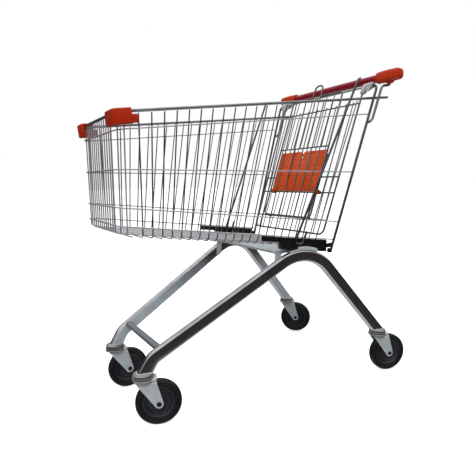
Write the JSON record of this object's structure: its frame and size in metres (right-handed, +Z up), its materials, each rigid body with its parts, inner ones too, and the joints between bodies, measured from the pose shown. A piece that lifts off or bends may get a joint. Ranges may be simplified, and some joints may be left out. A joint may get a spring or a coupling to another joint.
{
  "type": "shopping cart",
  "caption": "Nesting wire-basket shopping cart on swivel casters, with bent tube legs, a swing-up rear gate and a folding child seat.",
  "frame": {"origin": "on the floor, at the centre of the cart's bounding box seen from above", "axes": "+Z up, -Y forward to the nose, +Y back to the handle, +X to the cart's own left side"},
  "size_m": [0.576, 0.9542, 0.9925],
  "materials": {
    "chrome_wire": "bright zinc-chrome plated welded wire",
    "chrome_tube": "bright chrome plated tube",
    "galvanised": "blue-grey galvanised pressed sheet",
    "bolt_steel": "zinc plated bolt",
    "black_plastic": "moulded, matte",
    "grey_plastic": "moulded, satin",
    "handle_red": "crimson sleeve, satin gloss",
    "cap_orange": "orange-red moulding, satin gloss",
    "bumper_red": "deep orange-red moulding",
    "seat_orange": "bright orange moulding",
    "tyre_black": "black, fine concentric grooves",
    "hub_grey": "dark grey moulding"
  },
  "bodies": {
    "cart_frame": {"left_leg": "chrome_tube", "right_leg": "chrome_tube", "front_crossbar": "chrome_tube", "cross_member": "galvanised", "left_leg_saddle": "galvanised", "right_leg_saddle": "galvanised", "left_side_guard": "black_plastic", "right_side_guard": "black_plastic", "left_basket_side": "chrome_wire", "right_basket_side": "chrome_wire", "basket_front": "chrome_wire", "basket_floor": "chrome_wire", "basket_rim": "chrome_wire", "rear_hoop": "chrome_wire", "left_handle_arm": "chrome_wire", "right_handle_arm": "chrome_wire", "left_side_strut": "chrome_wire", "right_side_strut": "chrome_wire", "handle_tube": "handle_red", "left_handle_cap": "cap_orange", "right_handle_cap": "cap_orange", "handle_cap_screws": "bolt_steel", "left_corner_bumper": "bumper_red", "right_corner_bumper": "bumper_red", "front_left_caster_top": "galvanised", "front_right_caster_top": "galvanised", "rear_left_caster_top": "galvanised", "rear_right_caster_top": "galvanised"},
    "gate": {"gate_panel": "chrome_wire", "left_gate_hinge_clip": "grey_plastic", "right_gate_hinge_clip": "grey_plastic"},
    "seat_back": {"child_seat_back": "chrome_wire"},
    "seat_plate": {"child_seat_plate": "seat_orange"},
    "front_left_swivel": {"front_left_caster_fork": "galvanised", "front_left_axle_bolt": "bolt_steel"},
    "front_left_wheel": {"front_left_wheel_tyre": "tyre_black", "front_left_wheel_hub": "hub_grey"},
    "front_right_swivel": {"front_right_caster_fork": "galvanised", "front_right_axle_bolt": "bolt_steel"},
    "front_right_wheel": {"front_right_wheel_tyre": "tyre_black", "front_right_wheel_hub": "hub_grey"},
    "rear_left_swivel": {"rear_left_caster_fork": "galvanised", "rear_left_axle_bolt": "bolt_steel"},
    "rear_left_wheel": {"rear_left_wheel_tyre": "tyre_black", "rear_left_wheel_hub": "hub_grey"},
    "rear_right_swivel": {"rear_right_caster_fork": "galvanised", "rear_right_axle_bolt": "bolt_steel"},
    "rear_right_wheel": {"rear_right_wheel_tyre": "tyre_black", "rear_right_wheel_hub": "hub_grey"}
  },
  "joints": [
    {"name": "gate_hinge", "type": "hinge", "parent": "cart_frame", "child": "gate", "pos_m": [0, 0.34305, 0.944], "axis": [-1, 0, 0], "range_deg": [0, 55]},
    {"name": "seat_back_hinge", "type": "hinge", "parent": "gate", "child": "seat_back", "pos_m": [0, 0.18649, 0.52204], "axis": [1, 0, 0], "range_deg": [0, 60]},
    {"name": "seat_plate_hinge", "type": "hinge", "parent": "gate", "child": "seat_plate", "pos_m": [0, 0.21582, 0.60818], "axis": [1, 0, 0], "range_deg": [0, 90]},
    {"name": "front_left_swivel_turn", "type": "hinge", "parent": "cart_frame", "child": "front_left_swivel", "pos_m": [0.1243, -0.409, 0.13], "axis": [0, 0, 1], "continuous": true},
    {"name": "front_left_wheel_roll", "type": "hinge", "parent": "front_left_swivel", "child": "front_left_wheel", "pos_m": [0.13703, -0.37245, 0.0625], "axis": [0.9444, -0.3289, 0], "continuous": true},
    {"name": "front_right_swivel_turn", "type": "hinge", "parent": "cart_frame", "child": "front_right_swivel", "pos_m": [-0.1243, -0.409, 0.13], "axis": [0, 0, 1], "continuous": true},
    {"name": "front_right_wheel_roll", "type": "hinge", "parent": "front_right_swivel", "child": "front_right_wheel", "pos_m": [-0.1243, -0.3703, 0.0625], "axis": [1, 0, 0], "continuous": true},
    {"name": "rear_left_swivel_turn", "type": "hinge", "parent": "cart_frame", "child": "rear_left_swivel", "pos_m": [0.2426, 0.3766, 0.13], "axis": [0, 0, 1], "continuous": true},
    {"name": "rear_left_wheel_roll", "type": "hinge", "parent": "rear_left_swivel", "child": "rear_left_wheel", "pos_m": [0.25424, 0.41351, 0.0625], "axis": [0.9537, -0.3007, 0], "continuous": true},
    {"name": "rear_right_swivel_turn", "type": "hinge", "parent": "cart_frame", "child": "rear_right_swivel", "pos_m": [-0.2426, 0.3766, 0.13], "axis": [0, 0, 1], "continuous": true},
    {"name": "rear_right_wheel_roll", "type": "hinge", "parent": "rear_right_swivel", "child": "rear_right_wheel", "pos_m": [-0.21686, 0.40549, 0.0625], "axis": [0.7466, -0.6652, 0], "continuous": true}
  ],
  "couplings": [
    {"joint": "seat_plate_hinge", "follows": "seat_back_hinge", "ratio": 1.5}
  ]
}
